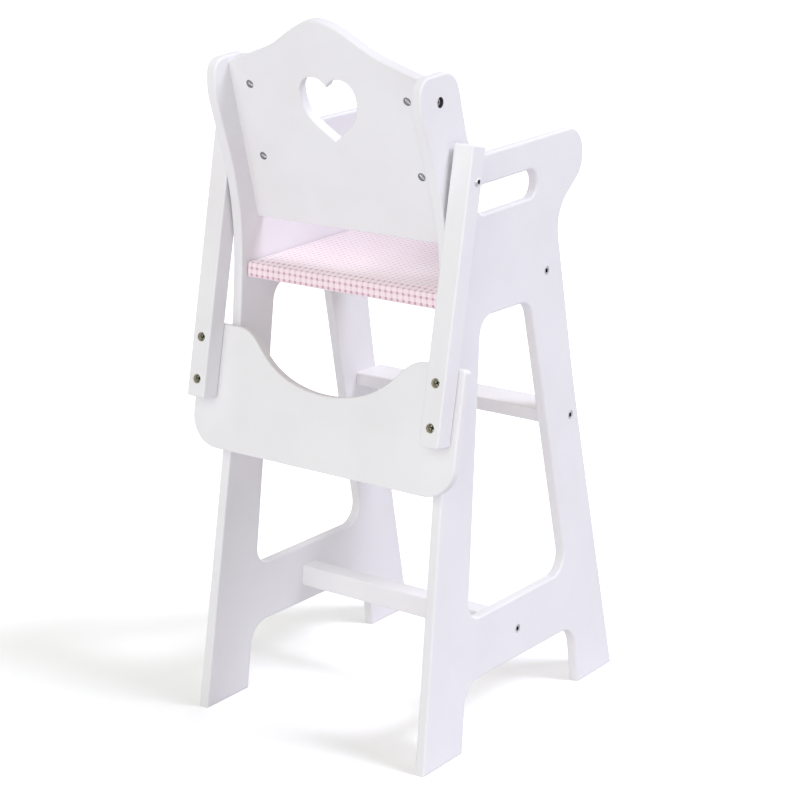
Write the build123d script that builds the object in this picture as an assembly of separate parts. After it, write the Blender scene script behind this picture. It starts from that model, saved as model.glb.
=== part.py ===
from build123d import *
import os
from math import asin, atan2, cos, degrees, hypot, radians, sin, tan

os.makedirs("parts", exist_ok=True)

# Doll high chair in painted wood: two splayed, scrolled side panels joined by a seat, a back board
# with a heart cut through it, a footrest and a stretcher, and a tray that swings over the back on
# two arms. Millimetres. +Z is up, the chair faces -Y and the sitter's left hand is at +X.
# The origin is on the floor, in the middle of the space that the chair takes.
# Along the chair, places are measured forwards from the heels of the rear feet.

# Side panels
PANEL_DEPTH = 310.0
PANEL_HEIGHT = 576.0
PANEL_THICKNESS = 9.5
FLOOR_WIDTH = 241.7
SPLAY = 1.52
PANEL_EASE = 2.0
OPENING_CORNER = 17.0
HANDLE_HEIGHT = 24.0
HANDLE_LENGTH = 92.0

# Corners of a side panel's outline: shares of its depth, forwards from the heel, and of its height.
# A corner's rounding takes up the given share of the shorter edge beside it
REAR_LEG_SHARES = [(0.0, 0.0), (0.1245, 0.571), (0.1245, 0.776)]
REAR_LEG_ROUND_SHARES = [0.0, 0.52, 0.47]
EAR_SHARES = [(0.0, 0.948), (0.0, 0.994), (0.160, 1.002)]
EAR_ROUND_SHARES = [0.42, 0.44, 0.33]
ARMREST_SHARES = [(0.2275, 0.8762), (0.789, 0.889)]
ARMREST_ROUND_SHARES = [0.29, 0.59]
FRONT_LEG_SHARES = [(0.789, 0.8245), (0.6515, 0.7672), (0.7585, 0.4965), (1.0, 0.0)]
FRONT_LEG_ROUND_SHARES = [0.29, 0.39, 0.22, 0.0]
ARCH_SHARES = [(0.8055, 0.0), (0.774, 0.1005), (0.206, 0.104), (0.1885, 0.0)]
ARCH_ROUND_SHARES = [0.0, 0.33, 0.31, 0.0]
OPENING_SHARES = [(0.216, 0.1995), (0.729, 0.1995), (0.519, 0.6475), (0.276, 0.6475)]
HANDLE_SHARE = (0.4005, 0.817)

# Where the other pieces cross the side panels, in the same shares
STOP_SHARE = (0.1215, 0.601)
CROSSING_HEIGHT_SHARE = 0.694
PIVOT_SHARE = (0.149, 0.8535)
SEAT_BACK_SHARE = (0.1465, 0.6665)
FOOTREST_SHARE = (0.7395, 0.4485)
STRETCHER_SHARE = (0.467, 0.1485)

# Back board
BACK_HEIGHT = 183.0
BACK_THICKNESS = 9.5
BACK_LEAN = 17.6
BACK_BELOW_PIVOT = 58.7
BACK_EASE = 1.2
EAR_BOLT_RISE = 64.5
BACK_TOP_SHARES = [(0.0, 1.0), (0.259, 0.956), (0.507, 0.873), (0.776, 0.814), (1.04, 0.764)]
HEART_WIDTH = 54.6
HEART_HEIGHT = 54.3
HEART_TIP_SHARE = 0.44
HEART_NOTCH_SHARE = (0.0, 0.855)
HEART_CROWN_SHARE = (0.51, 1.0)
HEART_SIDE_SHARES = [(1.0, 0.755), (0.894, 0.42), (0.597, 0.236), (0.0, 0.0)]

# Seat
SEAT_DEPTH = 151.6
SEAT_RISE = 2.1
SEAT_BOARD_THICKNESS = 9.5
SEAT_SCREW_INSET = 10.0
FOAM_THICKNESS = 2.5
CLOTH_THICKNESS = 0.6
CLOTH_GAP = 0.1
CLOTH_HEM = 20.0
SEAT_CORNER = 3.5
SEAT_EDGE = 2.8

# Footrest and stretcher
FOOTREST_DEPTH = 39.2
FOOTREST_THICKNESS = 12.0
STRETCHER_BAR = 19.5
RAIL_EASE = 1.6

# Swing tray
ARM_BAR = 18.5
ARM_SET_BACK = 2.0
ARM_ABOVE_PIVOT = 28.0
ARM_BELOW_PIVOT = 211.5
ARM_EASE = 1.6
ARM_SIDE_GAP = 0.3
TRAY_THICKNESS = 9.5
TRAY_DEPTH = 107.0
TRAY_FROM_PIVOT = 148.0
TRAY_OVERHANG = 6.0
TRAY_STOP_GAP = 0.3
TRAY_EASE = 1.6
TRAY_LOWER_CORNER = 28.0
TRAY_UPPER_CORNER = 4.0
BELLY_SHARES = [(0.0, 0.40), (0.267, 0.348), (0.478, 0.191), (0.593, 0.048), (0.689, 0.0)]
TRAY_SCREW_INSET = 12.0
TRAY_SCREW_SPACING = 36.0

# Bolts, barrel nuts and spacers
BOLT_RADIUS = 2.0
BOLT_HEAD_RADIUS = 4.1
BOLT_HEAD_HEIGHT = 2.4
BOLT_PAST_NUT = 2.0
EAR_BOLT_SINK = 2.6
HEX_RADIUS = 1.7
HEX_DEPTH = 1.4
NUT_RADIUS = 3.5
NUT_LENGTH = 8.0
NUT_SINK = 0.3
NUT_INSET = 18.6
NUT_SLOT_WIDTH = 0.9
NUT_SLOT_DEPTH = 0.8
NUT_SLOT_TURN = 45.0
SPACER_RADIUS = 6.0
BOLT_GAP = 0.15
NUT_GAP = 0.05
PIVOT_GAP = 0.05
ARM_END_GAP = 0.15

# Wood screws
SCREW_RADIUS = 1.75
SCREW_HEAD_RADIUS = 3.75
SCREW_HEAD_HEIGHT = 2.2
SCREW_GRIP = 20.0
SCREW_GAP = 0.05
HEAD_GAP = 0.25
HEAD_SINK = 0.3
CROSS_LENGTH = 4.2
CROSS_WIDTH = 1.1
CROSS_DEPTH = 1.1
TRAY_SCREW_SINK = 5.0
TRAY_SCREW_GRIP = 6.5

# How far a cut runs past the face that it opens
OVERRUN = 5.0

SIDES = {"left": 1, "right": -1}


def on_panel(share):
    """A place on a side panel: along the chair and above the floor."""
    return (-share[0] * PANEL_DEPTH, share[1] * PANEL_HEIGHT)


def outer_face(height):
    """Distance of a side panel's outer face from the chair's middle."""
    return FLOOR_WIDTH / 2 - height * tan(radians(SPLAY))


def inner_face(height):
    """Distance of a side panel's inner face from the chair's middle."""
    return outer_face(height) - PANEL_THICKNESS / cos(radians(SPLAY))


PIVOT_Y, PIVOT_Z = on_panel(PIVOT_SHARE)
EAR_BOLT_Y = PIVOT_Y + EAR_BOLT_RISE * sin(radians(BACK_LEAN))
EAR_BOLT_Z = PIVOT_Z + EAR_BOLT_RISE * cos(radians(BACK_LEAN))

# The arms clear the panels down to where they leave them, and lean until the tray meets the legs
ARM_INNER = outer_face(CROSSING_HEIGHT_SHARE * PANEL_HEIGHT) + ARM_SIDE_GAP
ARM_OUTER = ARM_INNER + ARM_BAR
ARM_MIDDLE = ARM_INNER + ARM_BAR / 2
TRAY_HALF_WIDTH = ARM_OUTER + TRAY_OVERHANG
STOP_Y, STOP_Z = on_panel(STOP_SHARE)
STOP_REACH = hypot(STOP_Y - PIVOT_Y, PIVOT_Z - STOP_Z)
STOP_OFFSET = ARM_BAR / 2 + TRAY_THICKNESS - ARM_SET_BACK + TRAY_STOP_GAP
ARM_LEAN = degrees(atan2(STOP_Y - PIVOT_Y, PIVOT_Z - STOP_Z) + asin(STOP_OFFSET / STOP_REACH))

# The rounded lower ends of the arms reach furthest back, and half the depth brings the origin to the middle
ARM_CORNER_DOWN = ARM_BELOW_PIVOT - ARM_EASE
ARM_CORNER_BACK = ARM_SET_BACK + ARM_BAR / 2 - ARM_EASE
ARM_TURN = radians(ARM_LEAN)
ARM_REAR_Y = PIVOT_Y + ARM_CORNER_DOWN * sin(ARM_TURN) + ARM_CORNER_BACK * cos(ARM_TURN) + ARM_EASE
TO_MIDDLE = (PANEL_DEPTH - ARM_REAR_Y) / 2

ARMREST_BACK, ARMREST_FRONT = [on_panel(share) for share in ARMREST_SHARES]
ARMREST_RISE = degrees(atan2(ARMREST_FRONT[1] - ARMREST_BACK[1], ARMREST_BACK[0] - ARMREST_FRONT[0]))

SEAT_FRAME = Location((0, *on_panel(SEAT_BACK_SHARE)), (-SEAT_RISE, 0, 0))
BACK_FRAME = Location((0, PIVOT_Y, PIVOT_Z), (-BACK_LEAN, 0, 0))
ARM_FRAME = Location((0, PIVOT_Y, PIVOT_Z), (ARM_LEAN, 0, 0))


def room(inset=0):
    """The space between the side panels' inner faces, drawn in by an inset."""
    top = PANEL_HEIGHT + BACK_HEIGHT
    low = inner_face(-OVERRUN) - inset
    high = inner_face(top) - inset
    section = make_face(Polyline((-low, -OVERRUN), (low, -OVERRUN), (high, top), (-high, top), close=True))
    return extrude(Plane.XZ * section, amount=PANEL_DEPTH, both=True)


def block(depth, height, back, bottom):
    """A bar across the whole chair: its size along and up, and its back and bottom faces."""
    corner = Pos(0, back - depth / 2, bottom + height / 2)
    return corner * Box(FLOOR_WIDTH, depth, height)


def eased(solid, faces_along, radius):
    """Round the edges of the two faces that look along an axis."""
    faces = solid.faces().filter_by(faces_along)
    return fillet(faces.edges(), radius)


def rod(radius, start, end, y, z):
    """A cylinder along X between two distances from the chair's middle."""
    return Pos((start + end) / 2, y, z) * Rot(0, 90, 0) * Cylinder(radius, end - start)


def cross_recess(face_x, y, z):
    """The cutter for a cross recess in a head that looks along +X."""
    arm = Box(2 * CROSS_DEPTH, CROSS_LENGTH, CROSS_WIDTH)
    return Pos(face_x, y, z) * (arm + Rot(90, 0, 0) * arm)


def wood_screw(seat_x, y, z):
    """A wood screw on the left side, with its head's seat at a distance from the middle."""
    head_top = seat_x + SCREW_HEAD_HEIGHT
    shank = rod(SCREW_RADIUS, seat_x - PANEL_THICKNESS - SCREW_GRIP, seat_x, y, z)
    head = rod(SCREW_HEAD_RADIUS, seat_x, head_top, y, z)
    return shank + head - cross_recess(head_top, y, z)


def screw_seat(z):
    """Distance of a screw head's seat in a side panel from the chair's middle."""
    return outer_face(z) - HEAD_SINK - SCREW_HEAD_HEIGHT


def screw_hole(y, z):
    """The cutter for a countersunk wood screw in the left side panel."""
    seat = screw_seat(z)
    head = rod(SCREW_HEAD_RADIUS + HEAD_GAP, seat, seat + PANEL_THICKNESS, y, z)
    return pilot_hole(y, z) + head


def pilot_hole(y, z):
    """The cutter for a wood screw's shank, from its tip to past the panel."""
    seat = screw_seat(z)
    return rod(SCREW_RADIUS + SCREW_GAP, seat - PANEL_THICKNESS - SCREW_GRIP, seat + PANEL_THICKNESS, y, z)


def both_sides(solid):
    """A piece on the left and its mirror image on the right."""
    return [solid, mirror(solid, about=Plane.YZ)]


def seat_screw_places():
    middle = CLOTH_THICKNESS + CLOTH_GAP + SEAT_BOARD_THICKNESS / 2
    inwards = [SEAT_SCREW_INSET, SEAT_DEPTH - SEAT_SCREW_INSET]
    spots = [SEAT_FRAME * Pos(0, -distance, middle) for distance in inwards]
    return [(spot.position.Y, spot.position.Z) for spot in spots]


def panel_screw_places():
    return seat_screw_places() + [on_panel(FOOTREST_SHARE), on_panel(STRETCHER_SHARE)]


def smooth(points, start, end):
    """A curve through points that leaves and arrives in the given directions."""
    return Spline(*points, tangents=(start, end), tangent_scalars=(1, 1))


def rounded(corners, round_shares):
    """The face inside a ring of corners, each rounded over a share of the shorter edge beside it."""
    spots = [Vector(*corner) for corner in corners]
    starts, arcs = [], []
    for before, spot, after, share in zip(spots[-1:] + spots, spots, spots[1:] + spots[:1], round_shares):
        arriving, leaving = spot - before, after - spot
        run = share * min(arriving.length, leaving.length)
        starts.append(spot - arriving.normalized() * run)
        if run:
            arcs.append(TangentArc(starts[-1], spot + leaving.normalized() * run, tangent=arriving))
        else:
            arcs.append(None)
    edges = []
    for arc, start, following in zip(arcs, starts, starts[1:] + starts[:1]):
        edges += [arc, Line(arc @ 1, following)] if arc else [Line(start, following)]
    return make_face(edges)


def panel_outline():
    """The scrolled edge of a side panel, from the heel over the ear and the arm to the toe."""
    shares = REAR_LEG_SHARES + EAR_SHARES + ARMREST_SHARES + FRONT_LEG_SHARES + ARCH_SHARES
    round_shares = REAR_LEG_ROUND_SHARES + EAR_ROUND_SHARES + ARMREST_ROUND_SHARES
    round_shares += FRONT_LEG_ROUND_SHARES + ARCH_ROUND_SHARES
    return rounded([on_panel(share) for share in shares], round_shares)


def side_panel():
    """The left side panel, with its openings, its handle slot and its screw holes."""
    opening = [on_panel(share) for share in OPENING_SHARES]
    sheet = panel_outline() - make_face(FilletPolyline(*opening, radius=OPENING_CORNER, close=True))
    along_armrest = Pos(*on_panel(HANDLE_SHARE)) * Rot(0, 0, -ARMREST_RISE)
    sheet -= along_armrest * SlotOverall(HANDLE_LENGTH, HANDLE_HEIGHT)
    plate = extrude(Plane.YZ * sheet, amount=-PANEL_THICKNESS)
    plate = eased(plate, Axis.X, PANEL_EASE)
    panel = Pos(FLOOR_WIDTH / 2, 0, 0) * Rot(0, -SPLAY, 0) * plate
    below_floor = Pos(0, -PANEL_DEPTH / 2, -OVERRUN / 2) * Box(2 * FLOOR_WIDTH, 2 * PANEL_DEPTH, OVERRUN)
    panel -= below_floor
    for y, z in panel_screw_places():
        panel -= screw_hole(y, z)
    panel -= rod(BOLT_RADIUS + BOLT_GAP, 0, FLOOR_WIDTH, PIVOT_Y, PIVOT_Z)
    panel -= rod(BOLT_RADIUS + BOLT_GAP, 0, FLOOR_WIDTH, EAR_BOLT_Y, EAR_BOLT_Z)
    panel -= rod(BOLT_HEAD_RADIUS + HEAD_GAP, ear_bolt_seat(), FLOOR_WIDTH, EAR_BOLT_Y, EAR_BOLT_Z)
    return panel


def heart():
    """The heart in the back board, with its tip at the origin."""
    half = HEART_WIDTH / 2
    notch = (HEART_NOTCH_SHARE[0] * half, HEART_NOTCH_SHARE[1] * HEART_HEIGHT)
    crown = (HEART_CROWN_SHARE[0] * half, HEART_CROWN_SHARE[1] * HEART_HEIGHT)
    side = [(across * half, up * HEART_HEIGHT) for across, up in HEART_SIDE_SHARES]
    lobe = ThreePointArc(notch, crown, side[0])
    flank = smooth(side, lobe % 1, Vector(side[-1]) - Vector(side[-2]))
    half_heart = Curve() + [lobe, flank]
    return make_face(half_heart + mirror(half_heart, about=Plane.YZ))


def nut_places():
    """Across and above the pivot, on the back board: where the barrel nuts sit."""
    upper = inner_face(EAR_BOLT_Z) - NUT_INSET
    lower = inner_face(PIVOT_Z) - NUT_INSET
    return [(upper, EAR_BOLT_RISE), (lower, 0)]


def back_panel():
    """The back board: ogee top, heart, holes for the bolts and the barrel nuts."""
    half = inner_face(EAR_BOLT_Z)
    right = [(across * half, up * BACK_HEIGHT) for across, up in BACK_TOP_SHARES]
    left = [(-across, up) for across, up in reversed(right[1:])]
    start, end = left[0], right[-1]
    fall = Vector(end) - Vector(right[-2])
    ogee = smooth(left + right, (fall.X, -fall.Y), fall)
    sides = Polyline(end, (end[0], 0), (start[0], 0), start)
    board = make_face([ogee, *sides.edges()])
    board -= Pos(0, HEART_TIP_SHARE * BACK_HEIGHT) * heart()
    upright = Plane.XZ.offset(-BACK_THICKNESS / 2) * Pos(0, -BACK_BELOW_PIVOT) * board
    plate = extrude(upright, amount=BACK_THICKNESS)
    plate = fillet(plate.faces().filter_by(Axis.Y).edges().filter_by(Axis.Z, reverse=True), BACK_EASE)
    plate = BACK_FRAME * plate & room()
    for solid in both_sides(bolt_holes()):
        plate -= solid
    return plate


def bolt_holes():
    """The cutters in the left half of the back board."""
    cutters = []
    for (across, up), (y, z) in zip(nut_places(), [(EAR_BOLT_Y, EAR_BOLT_Z), (PIVOT_Y, PIVOT_Z)]):
        depth = NUT_LENGTH + NUT_SINK
        pocket = Pos(across, BACK_THICKNESS / 2 - depth, up) * Rot(-90, 0, 0)
        hole = Cylinder(NUT_RADIUS + NUT_GAP, depth + OVERRUN, align=(Align.CENTER, Align.CENTER, Align.MIN))
        cutters.append(BACK_FRAME * pocket * hole)
        cutters.append(rod(BOLT_RADIUS + BOLT_GAP, across - NUT_RADIUS - BOLT_PAST_NUT, FLOOR_WIDTH, y, z))
    return Compound(cutters)


def barrel_nut(across, up):
    """One barrel nut in the back board, with its slot on the rear face."""
    base = BACK_THICKNESS / 2 - NUT_LENGTH - NUT_SINK
    nut = Cylinder(NUT_RADIUS, NUT_LENGTH, align=(Align.CENTER, Align.CENTER, Align.MIN))
    slot = Pos(0, 0, NUT_LENGTH) * Rot(0, 0, NUT_SLOT_TURN)
    nut -= slot * Box(FLOOR_WIDTH, NUT_SLOT_WIDTH, 2 * NUT_SLOT_DEPTH)
    nut = BACK_FRAME * Pos(across, base, up) * Rot(-90, 0, 0) * nut
    y, z = (EAR_BOLT_Y, EAR_BOLT_Z) if up else (PIVOT_Y, PIVOT_Z)
    return nut - rod(BOLT_RADIUS + BOLT_GAP, 0, FLOOR_WIDTH, y, z)


def barrel_nuts():
    nuts = []
    for across, up in nut_places():
        nuts += both_sides(barrel_nut(across, up))
    return Compound(nuts)


def ear_bolt_seat():
    """Distance of the ear bolt's head seat from the chair's middle."""
    return outer_face(EAR_BOLT_Z) - EAR_BOLT_SINK - BOLT_HEAD_HEIGHT


def bolt(seat_x, nut_x, y, z):
    """A machine bolt with a plain head, from its seat to past its barrel nut."""
    shank = rod(BOLT_RADIUS, nut_x - BOLT_RADIUS - BOLT_PAST_NUT, seat_x, y, z)
    return shank + rod(BOLT_HEAD_RADIUS, seat_x, seat_x + BOLT_HEAD_HEIGHT, y, z)


def ear_bolt():
    """The bolt through the panel's ear, with a hexagon socket."""
    seat = ear_bolt_seat()
    whole = bolt(seat, nut_places()[0][0], EAR_BOLT_Y, EAR_BOLT_Z)
    socket = extrude(RegularPolygon(HEX_RADIUS, 6), amount=HEX_DEPTH + OVERRUN)
    return whole - Pos(seat + BOLT_HEAD_HEIGHT - HEX_DEPTH, EAR_BOLT_Y, EAR_BOLT_Z) * Rot(0, 90, 0) * socket


def pivot_bolt():
    """The bolt that the tray's arm turns on, with a cross recess."""
    seat = ARM_OUTER + ARM_END_GAP
    whole = bolt(seat, nut_places()[1][0], PIVOT_Y, PIVOT_Z)
    return whole - cross_recess(seat + BOLT_HEAD_HEIGHT, PIVOT_Y, PIVOT_Z)


def pivot_spacer():
    """The washer between the panel's slanted face and the arm, cut to seat on both."""
    washer = rod(SPACER_RADIUS, 0, ARM_INNER - ARM_END_GAP, PIVOT_Y, PIVOT_Z)
    washer -= rod(BOLT_RADIUS + BOLT_GAP, 0, FLOOR_WIDTH, PIVOT_Y, PIVOT_Z)
    return washer - Pos(outer_face(0), 0, 0) * Rot(0, -SPLAY, 0) * Pos(-FLOOR_WIDTH / 2, 0, 0) * Box(
        FLOOR_WIDTH, 2 * PANEL_DEPTH, 2 * PANEL_HEIGHT)


def fillet_uprights(body, radius):
    """Round the four upright corners of a block that fits between the panels."""
    return fillet(body.faces().filter_by(Axis.Y).edges().filter_by(Axis.X, reverse=True), radius)


def seat_room(inset):
    """The space between the panels, seen from the seat's lower back edge."""
    return SEAT_FRAME.inverse() * room(inset)


def cushion(inset, bottom, height):
    """A block with rounded upright corners and top edges, drawn in by an inset all round."""
    depth = SEAT_DEPTH - 2 * inset
    body = fillet_uprights(block(depth, height, -inset, bottom) & seat_room(inset), SEAT_CORNER - inset)
    return fillet(body.faces().sort_by(Axis.Z)[-1].edges(), SEAT_EDGE - inset)


def seat_levels():
    """Above the cover's underside: the board's underside, the foam and the cover's inside top."""
    board = CLOTH_THICKNESS + CLOTH_GAP
    foam = board + SEAT_BOARD_THICKNESS
    return board, foam, foam + FOAM_THICKNESS + CLOTH_GAP


def seat_board():
    inset = CLOTH_THICKNESS + CLOTH_GAP
    board = block(SEAT_DEPTH - 2 * inset, SEAT_BOARD_THICKNESS, -inset, seat_levels()[0]) & seat_room(inset)
    board = SEAT_FRAME * fillet_uprights(board, SEAT_CORNER - inset)
    for y, z in seat_screw_places():
        for cutter in both_sides(pilot_hole(y, z)):
            board -= cutter
    return board


def seat_foam():
    return SEAT_FRAME * cushion(CLOTH_THICKNESS + CLOTH_GAP, seat_levels()[1], FOAM_THICKNESS)


def seat_cover():
    """The cloth cover: over the foam, down all four edges and hemmed under the board."""
    board, foam, inside_top = seat_levels()
    cover = cushion(0, 0, inside_top + CLOTH_THICKNESS)
    cover -= cushion(CLOTH_THICKNESS, CLOTH_THICKNESS, inside_top - CLOTH_THICKNESS)
    cover -= block(SEAT_DEPTH - 2 * CLOTH_HEM, OVERRUN, -CLOTH_HEM, board - OVERRUN) & seat_room(CLOTH_HEM)
    cover = SEAT_FRAME * cover
    for y, z in seat_screw_places():
        for cutter in both_sides(pilot_hole(y, z)):
            cover -= cutter
    return cover


def rail(depth, thickness, share):
    """A rail between the panels, screwed through them at its middle."""
    y, z = on_panel(share)
    bar = eased(block(depth, thickness, y + depth / 2, z - thickness / 2), Axis.Y, RAIL_EASE)
    bar &= room()
    for cutter in both_sides(pilot_hole(y, z)):
        bar -= cutter
    return bar


def screws_at(places):
    screws = []
    for y, z in places:
        screws += both_sides(wood_screw(screw_seat(z), y, z))
    return Compound(screws)


def tray_screw_places():
    """Distances below the pivot of the screws that hold the tray to an arm."""
    first = TRAY_FROM_PIVOT + TRAY_SCREW_INSET
    return [first, first + TRAY_SCREW_SPACING]


def tray_screw_seat():
    """Distance of a tray screw's head seat behind the pivot's line along the arm."""
    return ARM_SET_BACK + ARM_BAR / 2 - TRAY_SCREW_SINK - SCREW_HEAD_HEIGHT


def tray_screw_length():
    """Length of a tray screw's shank: through the rest of the arm and into the tray."""
    return ARM_BAR - TRAY_SCREW_SINK - SCREW_HEAD_HEIGHT + TRAY_SCREW_GRIP


def tray_screw(down):
    """A screw from the arm's rear face into the tray, along the arm frame's -Y."""
    length = tray_screw_length()
    base = (Align.CENTER, Align.CENTER, Align.MIN)
    shank = Pos(0, 0, -length) * Cylinder(SCREW_RADIUS, length, align=base)
    head = Cylinder(SCREW_HEAD_RADIUS, SCREW_HEAD_HEIGHT, align=base)
    arm = Box(CROSS_LENGTH, CROSS_WIDTH, 2 * CROSS_DEPTH)
    recess = Pos(0, 0, SCREW_HEAD_HEIGHT) * (arm + Rot(0, 0, 90) * arm)
    placed = Pos(ARM_MIDDLE, tray_screw_seat(), -down) * Rot(-90, 0, 0)
    return ARM_FRAME * placed * (shank + head - recess)


def tray_screw_hole(down):
    """The cutter for a tray screw and its deep counterbore."""
    length = tray_screw_length()
    base = (Align.CENTER, Align.CENTER, Align.MIN)
    shank = Pos(0, 0, -length) * Cylinder(SCREW_RADIUS + SCREW_GAP, 2 * length, align=base)
    head = Cylinder(SCREW_HEAD_RADIUS + HEAD_GAP, ARM_BAR, align=base)
    return ARM_FRAME * Pos(ARM_MIDDLE, tray_screw_seat(), -down) * Rot(-90, 0, 0) * (shank + head)


def tray_arm():
    """The left arm of the tray, a square bar from above the pivot down to the tray."""
    length = ARM_ABOVE_PIVOT + ARM_BELOW_PIVOT
    bar = fillet(Box(ARM_BAR, ARM_BAR, length).edges(), ARM_EASE)
    arm = ARM_FRAME * Pos(ARM_MIDDLE, ARM_SET_BACK, ARM_ABOVE_PIVOT - length / 2) * bar
    arm -= rod(BOLT_RADIUS + PIVOT_GAP, 0, FLOOR_WIDTH, PIVOT_Y, PIVOT_Z)
    for down in tray_screw_places():
        arm -= tray_screw_hole(down)
    return arm


def tray_board():
    """The tray: straight ears over the arms, a belly cut between them, round lower corners."""
    belly = [(across * TRAY_HALF_WIDTH, -deep * TRAY_DEPTH) for across, deep in BELLY_SHARES]
    cut = smooth(belly, (1, 0), (1, 0))
    ear = Line(belly[-1], (TRAY_HALF_WIDTH, 0))
    side = Polyline((TRAY_HALF_WIDTH, 0), (TRAY_HALF_WIDTH, -TRAY_DEPTH), (0, -TRAY_DEPTH))
    middle = Line((0, -TRAY_DEPTH), belly[0])
    half_tray = make_face([cut, ear, *side.edges(), middle])
    outer = half_tray.vertices().sort_by(Axis.X)[-2:].sort_by(Axis.Y)
    half_tray = fillet(outer[0], TRAY_LOWER_CORNER)
    half_tray = fillet(half_tray.vertices().group_by(Axis.X)[-1].sort_by(Axis.Y)[-1], TRAY_UPPER_CORNER)
    sheet = half_tray + mirror(half_tray, about=Plane.YZ)
    front = ARM_SET_BACK - ARM_BAR / 2 - TRAY_THICKNESS
    upright = Plane.XZ.offset(-front) * Pos(0, -TRAY_FROM_PIVOT) * sheet
    board = ARM_FRAME * eased(extrude(upright, amount=-TRAY_THICKNESS), Axis.Y, TRAY_EASE)
    for down in tray_screw_places():
        for cutter in both_sides(tray_screw_hole(down)):
            board -= cutter
    return board


def tray_screws():
    screws = []
    for down in tray_screw_places():
        screws += both_sides(tray_screw(down))
    return Compound(screws)


def save(name, solid):
    """Write one piece, moved from the heels to the middle of the chair."""
    export_step(Pos(0, TO_MIDDLE, 0) * solid, os.path.join("parts", name + ".step"))


def save_pair(name, left):
    """Write a piece of the left side and its mirror image."""
    for side, solid in zip(SIDES, both_sides(left)):
        save(name + "_" + side, solid)


save_pair("side_panel", side_panel())
save("back_panel", back_panel())
save("seat_board", seat_board())
save("seat_foam", seat_foam())
save("seat_cover", seat_cover())
save("footrest", rail(FOOTREST_DEPTH, FOOTREST_THICKNESS, FOOTREST_SHARE))
save("stretcher", rail(STRETCHER_BAR, STRETCHER_BAR, STRETCHER_SHARE))
save("tray_board", tray_board())
save_pair("tray_arm", tray_arm())
save_pair("pivot_bolt", pivot_bolt())
save_pair("pivot_spacer", pivot_spacer())
save_pair("ear_bolt", ear_bolt())
save("barrel_nuts", barrel_nuts())
save("seat_screws", screws_at(seat_screw_places()))
save("footrest_screws", screws_at([on_panel(FOOTREST_SHARE)]))
save("stretcher_screws", screws_at([on_panel(STRETCHER_SHARE)]))
save("tray_screws", tray_screws())
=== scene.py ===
from math import ceil, cos, pi, radians, sin

import bmesh
import bpy
from bpy.props import FloatProperty, FloatVectorProperty, IntProperty, PointerProperty
from mathutils import Matrix, Vector


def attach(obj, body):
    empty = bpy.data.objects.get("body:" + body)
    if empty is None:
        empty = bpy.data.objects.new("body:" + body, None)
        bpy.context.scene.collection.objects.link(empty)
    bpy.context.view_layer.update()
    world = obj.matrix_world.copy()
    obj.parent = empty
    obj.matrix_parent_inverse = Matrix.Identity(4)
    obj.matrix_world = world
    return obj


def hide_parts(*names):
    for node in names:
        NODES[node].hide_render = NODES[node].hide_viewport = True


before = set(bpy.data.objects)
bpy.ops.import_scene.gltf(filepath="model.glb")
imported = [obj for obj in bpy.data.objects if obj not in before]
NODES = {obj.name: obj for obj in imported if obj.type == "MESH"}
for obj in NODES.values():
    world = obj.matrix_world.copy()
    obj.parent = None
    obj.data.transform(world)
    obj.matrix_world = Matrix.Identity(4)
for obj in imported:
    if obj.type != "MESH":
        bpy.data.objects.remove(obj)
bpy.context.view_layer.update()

bl_info = {
    "name": "Doll High Chair",
    "version": (1, 0, 0),
    "blender": (4, 5, 0),
    "location": "View3D > Sidebar > High Chair",
    "description": "Dresses the packed doll high chair with paint, hardware and a gingham seat pad",
    "category": "Object",
}

MM = 0.001

PAINTED = ("side_panel_left", "side_panel_right", "back_panel", "footrest", "stretcher", "tray_board",
           "tray_arm_left", "tray_arm_right")
ACROSS = Vector((1, 0, 0))
REARWARDS = Vector((0, 1, 0))
UP = Vector((0, 0, 1))
WHITE = (1, 1, 1)

WELD = MM / 100          # points closer than this are one
RIM = MM / 20            # how far back from its end a fastener's rim may reach
SHARP = radians(30)      # edges steeper than this stay sharp
BEVELLED = radians(35)   # edges of a head steeper than this are softened
SWELL_FRAMES = 20        # how long the foam presses the cloth
FLAT, ROUNDED = 0.995, 0.86   # how alike the true and the eased normal are on a flat and on an edge
COATING_IOR, NYLON_IOR = 1.5, 1.53
PLATE_ROUGHNESS = {"bright": 0.18, "dull": 0.35, "tarnished": 0.42, "scraped": 0.4, "chromate": 0.26,
                   "shadow": 0.6}
CLIP = (0.05, 50)        # nearest and farthest that the camera sees, in metres
SENSOR = 36              # width of the camera's sensor, in millimetres

# Tubes that line the bores, in millimetres: how far the inner and the outer wall lie outside a head's
# radius, and how high the two ends lie above the fastener's end. The tray's first end is counted from the
# arm's face. The ear bolts' and the barrel nuts' tubes are painted shade: dark sheets that stand for the
# shade deep in their bores and gaps.
EAR_TUBE = (0.1, 0.2, 2.4, -1.8)
NUT_TUBE = (-0.38, 0, -0.15, -3)
TRAY_TUBE = (0.15, 0.22, -0.25, -1.8)


def linear(hex_colour):
    """Linear RGB of an sRGB hex colour."""
    values = [int(hex_colour[i:i + 2], 16) / 255 for i in (0, 2, 4)]
    return [v / 12.92 if v <= 0.04045 else ((v + 0.055) / 1.055) ** 2.4 for v in values]


def length_prop(name, description, millimetres, low=0.0):
    return FloatProperty(name=name, description=description, default=millimetres * MM, min=low,
                         unit="LENGTH", precision=5)


def lengths_prop(name, description, *millimetres):
    return FloatVectorProperty(name=name, description=description, size=len(millimetres), unit="LENGTH",
                               default=[length * MM for length in millimetres], precision=5)


def direction_prop(name, description, direction):
    return FloatVectorProperty(name=name, description=description, default=direction, size=3,
                               subtype="DIRECTION")


def angle_prop(name, description, degrees):
    return FloatProperty(name=name, description=description, default=radians(degrees), subtype="ANGLE")


def share_prop(name, description, share, low=0.0, high=1.0):
    return FloatProperty(name=name, description=description, default=share, min=low, max=high,
                         subtype="FACTOR")


def amount_prop(name, description, amount):
    return FloatProperty(name=name, description=description, default=amount, min=0)


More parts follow.
